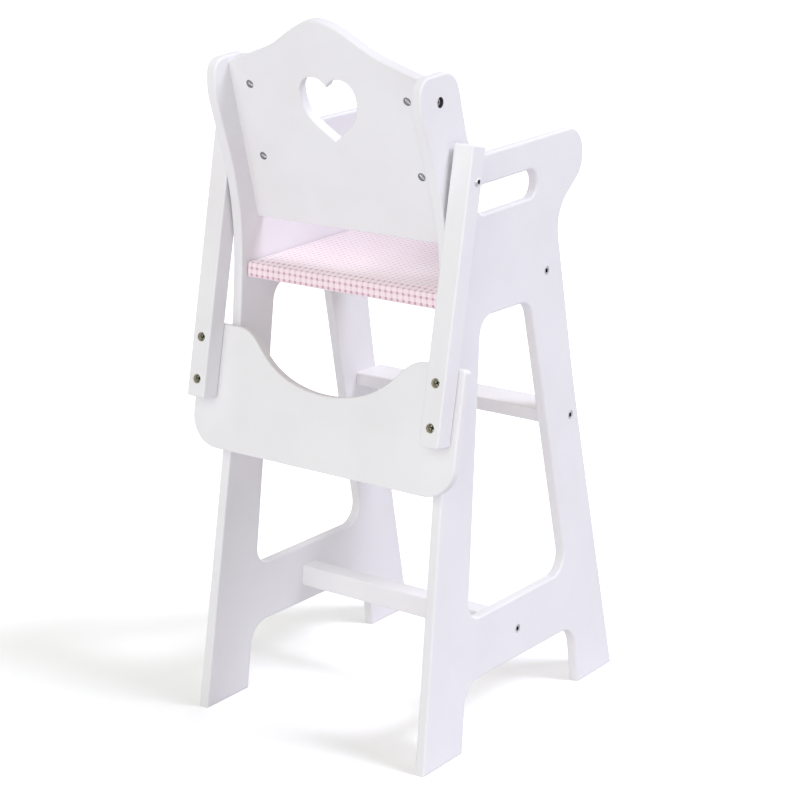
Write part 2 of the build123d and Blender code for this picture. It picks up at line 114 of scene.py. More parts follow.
def colour_prop(name, description, hex_colour):
    return FloatVectorProperty(name=name, description=description, default=linear(hex_colour), size=3,
                               subtype="COLOR", min=0, max=1)


class PaintSettings(bpy.types.PropertyGroup):
    paint: colour_prop("Paint", "Colour of the satin enamel", "EDECEF")
    shade: colour_prop("Shade", "Colour where the enamel has settled thinner", "E9E7EA")
    rubbed: colour_prop("Rubbed edge", "Colour of the primer that shows through at rubbed edges", "DCD3CC")
    roughness: share_prop("Roughness", "Roughness of the satin enamel", 0.42)
    wear: share_prop("Wear", "How much of the primer shows at a rubbed edge", 0.55)
    stipple: length_prop("Stipple", "Width of one bump of the roller's orange peel", 2.4, MM / 10)
    cloud: length_prop("Cloud", "Width of the patches in which the tone drifts", 70, MM)
    edge: length_prop("Edge", "Width of the rubbed band along an edge", 1.1)
    smudge: length_prop("Smudge", "Width of the spots in which the edges are rubbed", 9, MM)
    peel: length_prop("Peel", "Height of the orange peel", 0.05)
    peel_strength: share_prop("Peel strength", "How much of the orange peel shows", 0.35)


class WoodSettings(bpy.types.PropertyGroup):
    pale: colour_prop("Early wood", "Colour of the pale wood between the rings", "CDB08A")
    dark: colour_prop("Late wood", "Colour of the dark rings", "A17F58")
    bore: colour_prop("Bore", "Colour of the cut wood inside the counterbores", "E6DBCA")
    # Painted shade: this dark wood stands for the shade deep in the ear bolts' bores and in the gaps round
    # the barrel nuts.
    ear_bore: colour_prop("Ear bore", "Colour of the dark wood round the ear bolts and the barrel nuts",
                          "4A4246")
    ring: length_prop("Grain", "Distance between two grain lines", 3.2, MM / 10)
    pore: length_prop("Pore", "Width of one pore", 0.8, MM / 10)
    pore_depth: length_prop("Pore depth", "Depth of one pore", 0.08)
    pore_tone: share_prop("Pore tone", "How dark the pores are", 0.35)
    roughness: share_prop("Roughness", "Roughness of the sawn wood", 0.78)


class PadSettings(bpy.types.PropertyGroup):
    white: colour_prop("White yarn", "Colour of the white yarn", "FFEBF3")
    pink: colour_prop("Pink yarn", "Colour of the pink yarn", "CC9FAF")
    check: lengths_prop("Check", "Size of the gingham's repeat", 5.78, 5.92)
    share: share_prop("Stripe", "Share of the repeat that the pink stripe takes", 0.37, 0.1, 0.9)
    check_start: lengths_prop("Check start", "Place of a pink stripe's middle", 2.6, 4.95)
    thread: length_prop("Thread", "Distance between two threads", 0.59, MM / 10)
    thread_height: length_prop("Thread height", "Height of the threads' relief", 0.12)
    nap: length_prop("Nap", "Width of one tuft of the nap", 0.5, MM / 10)
    fray: length_prop("Fray", "How far a stripe's edge wanders", 0.35)
    fray_step: length_prop("Fray step", "Distance over which a stripe's edge wanders", 1.1, MM / 10)
    fade: length_prop("Fade", "Width of the paler patches", 14, MM)
    faded: share_prop("Faded", "How pale the paler patches are", 0.12)
    roughness: share_prop("Roughness", "Roughness of the cotton", 0.92)
    sheen: share_prop("Sheen", "Strength of the nap's sheen", 1)
    sheen_roughness: share_prop("Sheen roughness", "Roughness of the nap's sheen", 0.45)
    roll: length_prop("Edge roll", "Radius that the cloth takes round the board's edges", 2.2)
    hem: length_prop("Hem", "Width of the hem under the board", 20)
    step: length_prop("Mesh step", "Width of one square of the cloth's mesh", 3.4, MM / 2)
    crown: length_prop("Crown", "How far the pad may rise above its drawing", 1.8)
    bulge: length_prop("Bulge", "How far the pad's free edges may swell", 0.7)
    cloth: length_prop("Cloth", "Thickness of the cotton", 0.45)
    side_gap: length_prop("Side gap", "Gap between the pad and a side panel", 0.1)
    pressure: amount_prop("Pressure", "Pressure of the foam under the cloth", 4)


class HardwareSettings(bpy.types.PropertyGroup):
    bright: colour_prop("Bright zinc", "Colour of the bright zinc plate", "D8D8DC")
    dull: colour_prop("Dull zinc", "Colour of the dull zinc plate on the ear bolts", "B8B8BA")
    # Painted shade and a painted highlight: the barrel nuts' face is a darker zinc that stands for its dim
    # reflection, and the slot a brighter zinc that stands for the glint in it; neither is tarnish or bare
    # metal.
    tarnished: colour_prop("Tarnished zinc", "Colour of the tarnished zinc on the barrel nuts", "9E9EA1")
    scraped: colour_prop("Scraped slot", "Colour of the bare metal in the barrel nuts' slots", "DEDEE0")
    chromate: colour_prop("Chromate", "Colour of the dull green-grey chromate on the tray's screws", "B0B5A6")
    # Painted shade: this near-black colour stands for the shade deep in the drive recesses, not for dust in
    # them.
    shadow: colour_prop("Recess", "Colour of the oily dust in the drive recesses", "0F0D14")
    washer: colour_prop("Washer", "Colour of the washers behind the arms", "D9D9DB")
    screw_radius: length_prop("Screw head", "Radius of a wood screw's head", 3.75, MM / 10)
    bolt_radius: length_prop("Bolt head", "Radius of an ear bolt's head", 4.1, MM / 10)
    pivot_radius: length_prop("Pivot head", "Radius of a pivot bolt's head", 3.2, MM / 10)
    nut_radius: length_prop("Barrel nut", "Radius of a barrel nut", 3.5, MM / 10)
    screw_recess: lengths_prop("Screw recess", "Length, width and depth of a rail screw's cross",
                               5.2, 2.2, 2.0)
    tray_recess: lengths_prop("Tray recess", "Length, width and depth of a tray screw's cross",
                              5.6, 1.3, 1.5)
    pivot_recess: lengths_prop("Pivot recess", "Length, width and depth of a pivot bolt's cross",
                               5.0, 1.8, 1.9)
    ear_recess: lengths_prop("Ear recess", "Radius and depth of an ear bolt's hexagon", 0.9, 1.2)
    slot: lengths_prop("Slot", "Half width at the top and at the floor of a barrel nut's slot, and its depth",
                       0.6, 0.52, 0.45)
    pivot_sink: length_prop("Pivot sink", "How far the pivot bolts' heads sit inside their drawn places", 1)
    ear_rise: length_prop("Ear rise", "How far the ear bolts' heads stand out of their drawn places", 0.8)
    tray_rise: length_prop("Tray rise", "How far the tray screws' heads stand out of their drawn places", 1.8)
    ear_gap: length_prop("Ear gap", "Gap round an ear bolt's head", 0.5)
    nut_gap: length_prop("Nut gap", "Gap round a barrel nut", 0.36)
    softened: length_prop("Softened", "Width of the softened edges of a head", 0.08)
    marks: length_prop("Marks", "Width of the cloudy marks on the plate", 1.5, MM / 10)
    marks_depth: length_prop("Marks depth", "Depth of the marks on the plate", 0.03)
    washer_marks: length_prop("Washer marks", "Width of the cloudy marks on the washers", 2, MM / 10)
    washer_roughness: share_prop("Washer roughness", "Roughness of the washers", 0.5)
    facets: IntProperty(name="Facets", description="Facets round a turned head", default=48, min=12)


class StageSettings(bpy.types.PropertyGroup):
    lens: FloatProperty(name="Lens", description="Focal length for a 36 mm sensor", default=96.85 * MM,
                        unit="CAMERA", min=MM)
    place: FloatVectorProperty(name="Camera", description="Place of the camera", size=3,
                               subtype="TRANSLATION", default=(-1.02917, 1.49869, 0.78414))
    azimuth: angle_prop("Azimuth", "Turn of the camera round the chair", 214.90)
    elevation: angle_prop("Elevation", "Height of the camera's view", 15.84)
    roll: angle_prop("Roll", "Tilt of the picture", 0.89)
    floor: FloatProperty(name="Floor", description="Width of the floor", default=14, unit="LENGTH", min=1)
    floor_colour: colour_prop("Floor colour", "Colour of the floor's paper", "E8E6E8")
    # Painted light: the floor that the camera sees turns paler away from the chair, so that the far shadow
    # fades into white.
    floor_near: amount_prop("Floor near", "How pale the camera sees the floor at the chair", 1.27)
    floor_far: amount_prop("Floor far", "How pale the camera sees the floor further away", 1.5)
    floor_reach: lengths_prop("Floor reach", "Where the floor begins and ends to turn paler", 150, 600)
    floor_cloud: length_prop("Floor cloud", "Width of the paper's faint clouds", 400, MM)
    key: amount_prop("Key lamp", "Strength of the soft lamp above, in front and to the right", 1.78)
    key_colour: colour_prop("Key colour", "Colour of the key lamp", "F0F0FF")
    key_travel: direction_prop("Key direction", "Where the key lamp's light goes", (0.59, 0.19, -0.78))
    key_spread: angle_prop("Key spread", "How wide the key lamp looks from the chair", 24)
    rear: amount_prop("Rear lamp", "Strength of the broad lamp behind the chair", 1.66)
    rear_colour: colour_prop("Rear colour", "Colour of the rear lamp", "FDFFF7")
    rear_travel: direction_prop("Rear direction", "Where the rear lamp's light goes", (0.15, -0.9, -0.35))
    front: amount_prop("Front lamp", "Strength of the broad lamp before the chair", 1.1)
    front_travel: direction_prop("Front direction", "Where the front lamp's light goes", (0, 0.9, -0.35))
    left: amount_prop("Left lamp", "Strength of the weak, broad lamp at the chair's left", 0.3)
    left_travel: direction_prop("Left direction", "Where the left lamp's light goes", (-0.9, 0, -0.35))
    broad_spread: angle_prop("Broad spread", "How wide the other lamps look from the chair", 60)
    sky: amount_prop("Room light", "Strength of the even light from all round", 0.25)


def settings(name):
    return getattr(bpy.context.scene, "high_chair_" + name)


def in_mm(lengths):
    """Lengths in millimetres, rounded to undo the settings' single precision."""
    return [round(length / MM, 4) for length in lengths]


# Materials


def add_node(material, kind, values=None, inputs=None):
    """Add a shader node with its settings, and give its sockets a value or a link."""
    tree = material.node_tree
    made = tree.nodes.new("ShaderNode" + kind)
    for name, value in (values or {}).items():
        setattr(made, name, value)
    for name, value in (inputs or {}).items():
        if isinstance(value, bpy.types.NodeSocket):
            tree.links.new(value, made.inputs[name])
        else:
            made.inputs[name].default_value = value
    return made


def new_material(name):
    material = bpy.data.materials.new(name)
    material.use_nodes = True
    material.node_tree.nodes.clear()
    return material


def rgba(colour):
    return (*colour, 1)


def darker(colour, share):
    return [c * share for c in colour]


def blend_colour(material, factor, first, second):
    """A colour between two, which may be colours or sockets."""
    made = add_node(material, "Mix", {"data_type": "RGBA"}, {0: factor, 6: first, 7: second})
    return made.outputs[2]


def calculate(material, operation, first, second=0.0):
    return add_node(material, "Math", {"operation": operation}, {0: first, 1: second}).outputs[0]


def object_noise(material, size, detail=2.0, stretch=(1, 1, 1)):
    """Noise over the object with features of a real size, which may be stretched along the axes."""
    place = add_node(material, "TexCoord").outputs["Object"]
    scaled = add_node(material, "Mapping", inputs={"Vector": place,
                                                   "Scale": [1 / (size * s) for s in stretch]})
    noise = add_node(material, "TexNoise", inputs={"Vector": scaled.outputs[0], "Scale": 1.0,
                                                   "Detail": detail})
    return noise.outputs[0]


def ranged(material, value, low, high, start=0.0, end=1.0):
    made = add_node(material, "MapRange", inputs={"Value": value, "From Min": low, "From Max": high,
                                                  "To Min": start, "To Max": end})
    return made.outputs[0]


def relief(material, height, strength, depth):
    """The normal of a surface whose relief follows a height."""
    return add_node(material, "Bump", inputs={"Height": height, "Strength": strength,
                                              "Distance": depth}).outputs[0]


def surface(material, inputs):
    shader = add_node(material, "BsdfPrincipled", inputs=inputs)
    add_node(material, "OutputMaterial", inputs={"Surface": shader.outputs[0]})


def edge_band(material, width):
    """1 on the rounded edges of a piece and 0 on its flats."""
    eased = add_node(material, "Bevel", {"samples": 6}, {"Radius": width}).outputs[0]
    straight = add_node(material, "NewGeometry").outputs["True Normal"]
    alike = add_node(material, "VectorMath", {"operation": "DOT_PRODUCT"}, {0: eased, 1: straight})
    return ranged(material, alike.outputs["Value"], FLAT, ROUNDED)


def satin_enamel():
    """Satin acrylic enamel rolled on fibreboard: an even white with a soft sheen and fine orange peel,
    a tone that drifts a little over a board, and edges where the primer shows faintly through."""
    s = settings("paint")
    material = new_material("satin_acrylic_enamel_rolled")
    drift = object_noise(material, s.cloud, 3)
    tone = blend_colour(material, ranged(material, drift, 0.35, 0.7), rgba(s.paint), rgba(s.shade))
    worn = calculate(material, "MULTIPLY", edge_band(material, s.edge),
                     ranged(material, object_noise(material, s.smudge), 0.48, 0.72, 0, s.wear))
    peel = object_noise(material, s.stipple, 3)
    fine = object_noise(material, s.stipple / 3, 1)
    height = calculate(material, "ADD", peel, calculate(material, "MULTIPLY", fine, 0.3))
    rough = ranged(material, drift, 0.3, 0.7, s.roughness - 0.04, s.roughness + 0.05)
    surface(material, {"Base Color": blend_colour(material, worn, tone, rgba(s.rubbed)), "Roughness": rough,
                       "IOR": COATING_IOR, "Normal": relief(material, height, s.peel_strength, s.peel)})
    return material


def sawn_wood(name, pale, dark):
    """Bare sawn wood: pale and dull, with fine darker grain lines along X."""
    s = settings("wood")
    material = new_material(name)
    grain = object_noise(material, s.ring, 4, (40, 1, 1))
    pores = object_noise(material, s.pore, 2, (30, 1, 1))
    tone = blend_colour(material, ranged(material, grain, 0.38, 0.66), rgba(pale), rgba(dark))
    tone = blend_colour(material, ranged(material, pores, 0.6, 0.75, 0, s.pore_tone), tone, rgba(dark))
    surface(material, {"Base Color": tone, "Roughness": s.roughness, "IOR": COATING_IOR,
                       "Normal": relief(material, pores, 0.5, s.pore_depth)})
    return material


def gingham():
    """Plain-woven gingham cotton: stripes of rose yarn on pale pink that make full squares where they
    cross, dull, with the threads' relief and a pale nap. The real threads are about 0.3 mm apart, too
    fine to show here, so they are drawn twice as coarse."""
    s = settings("pad")
    material = new_material("gingham_cotton_plain_weave")
    place = add_node(material, "SeparateXYZ", inputs={"Vector": add_node(
        material, "UVMap", {"uv_map": "cloth"}).outputs[0]})
    stripes, ridges = [], []
    fray = calculate(material, "MULTIPLY", calculate(
        material, "SUBTRACT", object_noise(material, s.fray_step, 1), 0.5), s.fray)
    for axis, start, size in zip("XY", s.check_start, s.check):
        along = calculate(material, "ADD", place.outputs[axis], fray)
        repeats = calculate(material, "DIVIDE", calculate(material, "SUBTRACT", along, start), size)
        away = calculate(material, "PINGPONG", repeats, 0.5)
        stripes.append(ranged(material, away, s.share / 2 + 0.03, s.share / 2 - 0.03))
        ridges.append(calculate(material, "SINE", calculate(
            material, "MULTIPLY", place.outputs[axis], pi / s.thread)))
    over = calculate(material, "MULTIPLY", *ridges)
    crossing = calculate(material, "MULTIPLY", *stripes)
    lone = calculate(material, "SUBTRACT", calculate(material, "MAXIMUM", *stripes), crossing)
    upper = ranged(material, over, -0.6, 0.6, 0.1, 0.4)
    pinkness = calculate(material, "ADD", crossing, calculate(material, "MULTIPLY", lone, upper))
    tone = blend_colour(material, pinkness, rgba(s.white), rgba(s.pink))
    faded = ranged(material, object_noise(material, s.fade), 0.4, 0.8, 0, s.faded)
    tone = blend_colour(material, faded, tone, rgba(s.white))
    height = calculate(material, "ADD", calculate(material, "ABSOLUTE", over),
                       calculate(material, "MULTIPLY", object_noise(material, s.nap), 0.5))
    surface(material, {"Base Color": tone, "Roughness": s.roughness, "IOR": COATING_IOR,
                       "Sheen Weight": s.sheen, "Sheen Roughness": s.sheen_roughness,
                       "Normal": relief(material, height, 0.6, s.thread_height)})
    return material


def plated(name, colour, roughness):
    """Plated steel: a metal that mirrors the room softly, with small cloudy marks from handling."""
    s = settings("hardware")
    material = new_material(name)
    marks = object_noise(material, s.marks, 4)
    worn = darker(colour, 0.72)
    tone = blend_colour(material, ranged(material, marks, 0.42, 0.7), rgba(colour), rgba(worn))
    surface(material, {"Base Color": tone, "Metallic": 1.0,
                       "Normal": relief(material, marks, 0.25, s.marks_depth),
                       "Roughness": ranged(material, marks, 0.3, 0.7, roughness - 0.06, roughness + 0.1)})
    return material


def metal(finish):
    """The zinc-plated steel of one finish, made once. The recess finish is painted shade, and the barrel
    nuts' darker face and bright slot are painted shade and a painted highlight.
    """
    s = settings("hardware")
    name = "steel_zinc_plated_" + finish
    return bpy.data.materials.get(name) or plated(name, getattr(s, finish), PLATE_ROUGHNESS[finish])


def bored_wood_and_shade(kind):
    """The bored wall of a board, made once: the bare wood of the tray's counterbores, and the darkened wood
    round the ear bolts and the barrel nuts, which is painted shade.
    """
    name = "fibreboard_bored_" + kind
    tone = getattr(settings("wood"), kind)
    return bpy.data.materials.get(name) or sawn_wood(name, tone, darker(tone, 0.6))


def nylon():
    """Moulded nylon: a pale, slightly waxy washer."""
    s = settings("hardware")
    material = new_material("nylon_moulded")
    marks = object_noise(material, s.washer_marks)
    tone = blend_colour(material, marks, rgba(s.washer), rgba(darker(s.washer, 0.9)))
    surface(material, {"Base Color": tone, "Roughness": s.washer_roughness, "IOR": NYLON_IOR})
    return material


# Reading the CAD pieces


def points_of(node):
    return [v.co.copy() for v in NODES[node].data.vertices]


def islands(node):
    """The separate solids of a node, each as a list of points."""
    whole = bmesh.new()
    whole.from_mesh(NODES[node].data)
    bmesh.ops.remove_doubles(whole, verts=whole.verts, dist=WELD)
    left, found = set(whole.verts), []
    while left:
        reached, waiting = set(), [left.pop()]
        while waiting:
            vertex = waiting.pop()
            reached.add(vertex)
            for edge in vertex.link_edges:
                other = edge.other_vert(vertex)
                if other in left:
                    left.discard(other)
                    waiting.append(other)
        found.append([v.co.copy() for v in reached])
    whole.free()
    return sorted(found, key=lambda points: [round(c, 3) for c in middle_of(points)])


def middle_of(points):
    low = Vector([min(p[i] for p in points) for i in range(3)])
    high = Vector([max(p[i] for p in points) for i in range(3)])
    return (low + high) / 2


def board_normal(node, towards):
    """The direction in which the largest flat of a board looks, on the side of a given direction."""
    areas = {}
    for face in NODES[node].data.polygons:
        normal = face.normal if face.normal.dot(towards) > 0 else -face.normal
        key = tuple(round(c, 2) for c in normal)
        area, total = areas.get(key, (0, Vector()))
        areas[key] = (area + face.area, total + normal * face.area)
    return max(areas.values(), key=lambda pair: pair[0])[1].normalized()


def frame_at(place, outwards):
    """A matrix whose Z looks outwards, with X kept as near to the chair's X or Z as it can be."""
    side = UP if abs(outwards.dot(ACROSS)) > 0.9 else ACROSS
    across = (side - outwards * side.dot(outwards)).normalized()
    turned_to = Matrix((across, outwards.cross(across), outwards)).transposed().to_4x4()
    return Matrix.Translation(place) @ turned_to


# Making meshes


def finished(made, name):
    """The mesh of a bmesh that is done."""
    mesh = bpy.data.meshes.new(name)
    made.to_mesh(mesh)
    made.free()
    return mesh


def linked(name, data):
    """A new object in the scene."""
    made = bpy.data.objects.new(name, data)
    bpy.context.scene.collection.objects.link(made)
    return made


def give_material(node, material):
    """Give a CAD piece one material."""
    materials = NODES[node].data.materials
    materials.clear()
    materials.append(material)


def new_piece(name, mesh, materials, body):
    """A finished mesh as a piece of the chair, riding on its body."""
    mesh.name = name
    for material in materials:
        mesh.materials.append(material)
    piece = linked(name, mesh)
    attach(piece, body)
    return piece


def applied(piece):
    """The mesh of a piece with its modifiers, and the piece removed."""
    graph = bpy.context.evaluated_depsgraph_get()
    mesh = bpy.data.meshes.new_from_object(piece.evaluated_get(graph), preserve_all_data_layers=True,
                                           depsgraph=graph)
    bpy.data.objects.remove(piece)
    return mesh


def turned(profile, facets):
    """A solid of revolution about Z from (radius, height) points in millimetres, from the top's middle
    to the bottom's."""
    made = bmesh.new()
    rings = []
    for radius, height in profile:
        if radius == 0:
            rings.append([made.verts.new((0, 0, height * MM))])
            continue
        ring = []
        for i in range(facets):
            angle = 2 * pi * i / facets
            ring.append(made.verts.new((radius * MM * cos(angle), radius * MM * sin(angle), height * MM)))
        rings.append(ring)
    for upper, lower in zip(rings, rings[1:]):
        for i in range(facets):
            j = (i + 1) % facets
            corners = [upper[i % len(upper)], lower[i % len(lower)], lower[j % len(lower)],
                       upper[j % len(upper)]]
            made.faces.new(dict.fromkeys(corners))
    bmesh.ops.recalc_face_normals(made, faces=made.faces)
    return finished(made, "turned")


def wedge(top, bottom, depth, turn, rise=1.0):
    """A tapered cutter: half sizes at the top and at the bottom, and its depth, in millimetres."""
    made = bmesh.new()
    for (half_x, half_y), height in ((top, rise), (bottom, -depth)):
        for x, y in ((-1, -1), (1, -1), (1, 1), (-1, 1)):
            made.verts.new((x * half_x * MM, y * half_y * MM, height * MM))
    bmesh.ops.convex_hull(made, input=made.verts)
    bmesh.ops.rotate(made, verts=made.verts, cent=(0, 0, 0), matrix=Matrix.Rotation(turn, 3, "Z"))
    return finished(made, "wedge")


def recessed(head, cutters):
    """A head with its drive recess cut out, and its edges softened. The cut faces are of the second
    material."""
    for mesh in [head, *cutters]:
        mesh.materials.append(None)
        mesh.materials.append(None)
    for cutter in cutters:
        for face in cutter.polygons:
            face.material_index = 1
    piece = linked("head", head)
    tools = [linked("cutter", cutter) for cutter in cutters]
    for tool in tools:
        cut = piece.modifiers.new("recess", "BOOLEAN")
        cut.object, cut.operation, cut.solver = tool, "DIFFERENCE", "EXACT"
    soften = piece.modifiers.new("soften", "BEVEL")
    soften.width, soften.segments = settings("hardware").softened, 2
    soften.limit_method, soften.angle_limit = "ANGLE", BEVELLED
    bpy.context.view_layer.update()
    mesh = applied(piece)
    for tool in tools:
        bpy.data.objects.remove(tool)
    return mesh


def gathered(name, parts):
    """One mesh from several, each put in place by its matrix."""
    whole = bmesh.new()
    for mesh, matrix in parts:
        copy = mesh.copy()
        copy.transform(matrix)
        whole.from_mesh(copy)
        bpy.data.meshes.remove(copy)
    mesh = finished(whole, name)
    mesh.shade_smooth()
    mesh.set_sharp_from_angle(angle=SHARP)
    return mesh


def cross_cutters(length, width, depth):
    """The two wings of a cross recess, which taper to its floor."""
    top, bottom = (length / 2, width / 2), (length / 5, width / 3)
    return [wedge(top, bottom, depth, 0), wedge(top, bottom, depth, pi / 2)]


def countersunk_head(recess):
    """A wood screw's head: a faintly domed disc with its recess, and the start of its shank."""
    s = settings("hardware")
    radius = s.screw_radius / MM
    profile = [(0, 0), (radius * 0.6, -0.03), (radius * 0.9, -0.14), (radius * 0.985, -0.24), (radius, -0.42),
               (radius, -0.7), (radius * 0.5, -2.5), (radius * 0.42, -6), (0, -6)]
    return recessed(turned(profile, s.facets), recess)


def pan_head(radius, recess):
    """A bolt's pan head with its recess: a flat top with a round shoulder."""
    profile = [(0, 0), (radius * 0.62, -0.03), (radius * 0.82, -0.2), (radius * 0.94, -0.6), (radius, -1.2),
               (radius, -2.4), (radius * 0.48, -2.4), (radius * 0.48, -6), (0, -6)]
    return recessed(turned(profile, settings("hardware").facets), recess)


def hexagon_cutter(radius, depth):
    """A straight six-sided cutter with a drilled point."""
    return [turned([(0, 1), (radius, 1), (radius, -depth), (0, -depth - radius / 3)], 6)]


def slotted_nut():
    """The round end of a barrel nut: a flat disc with a screwdriver slot and a soft rim, a little
    smaller than its hole."""
    s = settings("hardware")
    radius = (s.nut_radius - s.nut_gap) / MM
    top, floor, depth = in_mm(s.slot)
    profile = [(0, 0), (radius * 0.88, 0), (radius * 0.97, -0.1), (radius, -0.3), (radius, -7.9), (0, -7.9)]
    slot = wedge((radius * 1.2, top), (radius * 1.2, floor), depth, 0)
    return recessed(turned(profile, s.facets), [slot])


def head_places(node, outwards):
    """Where each fastener's outer end is: its middle and the direction in which it looks."""
    places = []
    for points in islands(node):
        way = outwards if outwards else (ACROSS if middle_of(points).x > 0 else -ACROSS)
        reach = max(p.dot(way) for p in points)
        rim = [p for p in points if p.dot(way) > reach - RIM]
        centre = middle_of(rim)
        places.append((centre + way * (reach - centre.dot(way)), way))
    return places


def dress_fasteners(name, node, mesh, finishes, body, outwards=None, turn=0.0, turn_step=2.4, sink=0.0):
    """Put a detailed head on each fastener of a CAD node, which it replaces. The finishes are the head's
    and the recess's; the recess's is painted shade, except in the barrel nuts' slots, where it is a painted
    highlight. Each is screwed in to another turn."""
    parts = []
    for place, way in head_places(node, outwards):
        turned_by = Matrix.Rotation(turn + turn_step * len(parts), 4, "Z")
        parts.append((mesh, frame_at(place - way * sink, way) @ turned_by))
    piece = new_piece(name, gathered(name, parts), [metal(finish) for finish in finishes], body)
    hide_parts(node)


def line_bores(name, node, radius, tube, material, body, outwards=None):
    """Line the bores round some fasteners of one radius with a thin tube."""
    inner, outer, top, bottom = radius / MM + tube[0], radius / MM + tube[1], *tube[2:]
    wall = turned([(inner, top), (outer, top), (outer, bottom), (inner, bottom), (inner, top)],
                  settings("hardware").facets)
    parts = [(wall, frame_at(place, way)) for place, way in head_places(node, outwards)]
    new_piece(name, gathered(name, parts), [material], body)


# The seat pad


def marks_along(low, high, step, roll):
    """Places from one edge to the other: close together in the rolls, even between them."""
    near = [roll * share for share in (0, 0.2, 0.5, 0.8, 1)]
    inner_low, inner_high = low + roll, high - roll
    count = max(1, ceil((inner_high - inner_low) / step))
    middle = [inner_low + (inner_high - inner_low) * i / count for i in range(1, count)]
    return [low + n for n in near] + middle + [high - n for n in reversed(near)]


def cover_sheet(half_width, depth, height, s):
    """The cover as one wrapped sheet in the seat's frame: top, four sides and the hem under the board.
    Its back edge is at Y 0 and its underside at Z 0. The UVs are the flat cloth, in metres."""
    made = bmesh.new()
    flat = made.loops.layers.uv.new("cloth")
    xs = marks_along(-half_width, half_width, s.step, s.roll)
    ys = marks_along(-depth, 0, s.step, s.roll)
    zs = marks_along(0, height, s.step, s.roll)
    found = {}

    def vertex(x, y, z):
        key = tuple(round(c, 6) for c in (x, y, z))
        if key not in found:
            inner = Vector((min(max(x, s.roll - half_width), half_width - s.roll),
                            min(max(y, s.roll - depth), -s.roll), min(max(z, s.roll), height - s.roll)))
            out = Vector((x, y, z)) - inner
            found[key] = made.verts.new(inner + out.normalized() * s.roll if out.length > 1e-9 else inner)
        return found[key]

    def patch(corners, cloth):
        face = made.faces.new([vertex(*corner) for corner in corners])
        for loop, corner in zip(face.loops, corners):
            loop[flat].uv = cloth(*corner)

    for (x0, x1), (y0, y1) in [(a, b) for a in zip(xs, xs[1:]) for b in zip(ys, ys[1:])]:
        square = ((x0, y0), (x1, y0), (x1, y1), (x0, y1))
        patch([(x, y, height) for x, y in square], lambda x, y, z: (x, y))
        beside = min(half_width + x0, half_width - x1)
        before = min(depth + y0, -y1)
        if min(beside, before) < s.hem - MM:
            if before < beside:
                back = -y1 < depth + y0
                fold = (lambda x, y, z: (x, height - y)) if back else (
                    lambda x, y, z: (x, -2 * depth - height - y))
            else:
                right = half_width - x1 < half_width + x0
                fold = (lambda x, y, z: (2 * half_width + height - x, y)) if right else (
                    lambda x, y, z: (-2 * half_width - height - x, y))
            patch([(x, y, 0) for x, y in reversed(square)], fold)
    for z0, z1 in zip(zs, zs[1:]):
        for x0, x1 in zip(xs, xs[1:]):
            patch([(x1, 0, z0), (x0, 0, z0), (x0, 0, z1), (x1, 0, z1)], lambda x, y, z: (x, height - z))
            patch([(x0, -depth, z0), (x1, -depth, z0), (x1, -depth, z1), (x0, -depth, z1)],
                  lambda x, y, z: (x, z - height - depth))
        for y0, y1 in zip(ys, ys[1:]):
            patch([(half_width, y0, z0), (half_width, y1, z0), (half_width, y1, z1),
                   (half_width, y0, z1)],
                  lambda x, y, z: (half_width + height - z, y))
            patch([(-half_width, y1, z0), (-half_width, y0, z0), (-half_width, y0, z1),
                   (-half_width, y1, z1)],
                  lambda x, y, z: (z - height - half_width, y))
    bmesh.ops.recalc_face_normals(made, faces=made.faces)
    return finished(made, "seat_pad")


def swell(mesh, height, depth, s):
    """Let the foam press the cotton outwards for a moment, and keep each point within its limits: the
    cloth may swell away from the board but not sink into it."""
    rest = [v.co.copy() for v in mesh.vertices]
    piece = linked("swelling", mesh)
    held = piece.vertex_groups.new(name="held")
    held.add([i for i, p in enumerate(rest) if p.z < height / 4], 1.0, "REPLACE")
    cloth = piece.modifiers.new("Cloth", "CLOTH")
    cloth.settings.vertex_group_mass = "held"
    cloth.settings.mass = 0.05
    cloth.settings.use_pressure = True
    cloth.settings.uniform_pressure_force = s.pressure
    cloth.settings.effector_weights.gravity = 0
    cloth.settings.tension_stiffness = cloth.settings.compression_stiffness = 12
    cloth.settings.bending_stiffness = 0.4
    cloth.collision_settings.use_collision = False
    cloth.point_cache.frame_start, cloth.point_cache.frame_end = 1, SWELL_FRAMES
    for number in range(1, SWELL_FRAMES + 1):
        bpy.context.scene.frame_set(number)
    moved = applied(piece)
    bpy.context.scene.frame_set(1)
    for vertex, before in zip(moved.vertices, rest):
        shift = vertex.co - before
        shift.x = 0
        outwards = shift.y if before.y > -depth / 2 else -shift.y
        shift.y = max(0, min(s.bulge, outwards)) * (1 if before.y > -depth / 2 else -1)
        shift.z = max(0, min(s.crown, shift.z))
        vertex.co = before + shift
    return moved


def seat_frame():
    """The seat's frame: X across, Y level with the seat, Z out of its top, from its lower back edge."""
    top = board_normal("seat_board", UP)
    along = top.cross(ACROSS)
    turned_to = Matrix((ACROSS, along, top)).transposed().to_4x4()
    local = [turned_to.inverted() @ p for p in points_of("seat_cover")]
    back, bottom = max(p.y for p in local), min(p.z for p in local)
    height = max(p.z for p in local) - bottom
    half_widths = [max(abs(p.x) for p in local if abs(p.z - level) < MM)
                   for level in (bottom, bottom + height)]
    depth = back - min(p.y for p in local)
    return turned_to @ Matrix.Translation((0, back, bottom)), half_widths, depth, height


class HIGHCHAIR_OT_painted_boards(bpy.types.Operator):
    """Paint the side panels, the back, the rails, the tray and its arms"""
    bl_idname = "high_chair.painted_boards"
    bl_label = "Painted boards"

    def execute(self, context):
        enamel = satin_enamel()
        for node in PAINTED:
            give_material(node, enamel)
        return {"FINISHED"}


class HIGHCHAIR_OT_seat_board(bpy.types.Operator):
    """Give the bare board under the seat its wood"""
    bl_idname = "high_chair.seat_board"
    bl_label = "Seat board"

    def execute(self, context):
        s = settings("wood")
        give_material("seat_board", sawn_wood("pine_sawn", s.pale, s.dark))
        return {"FINISHED"}


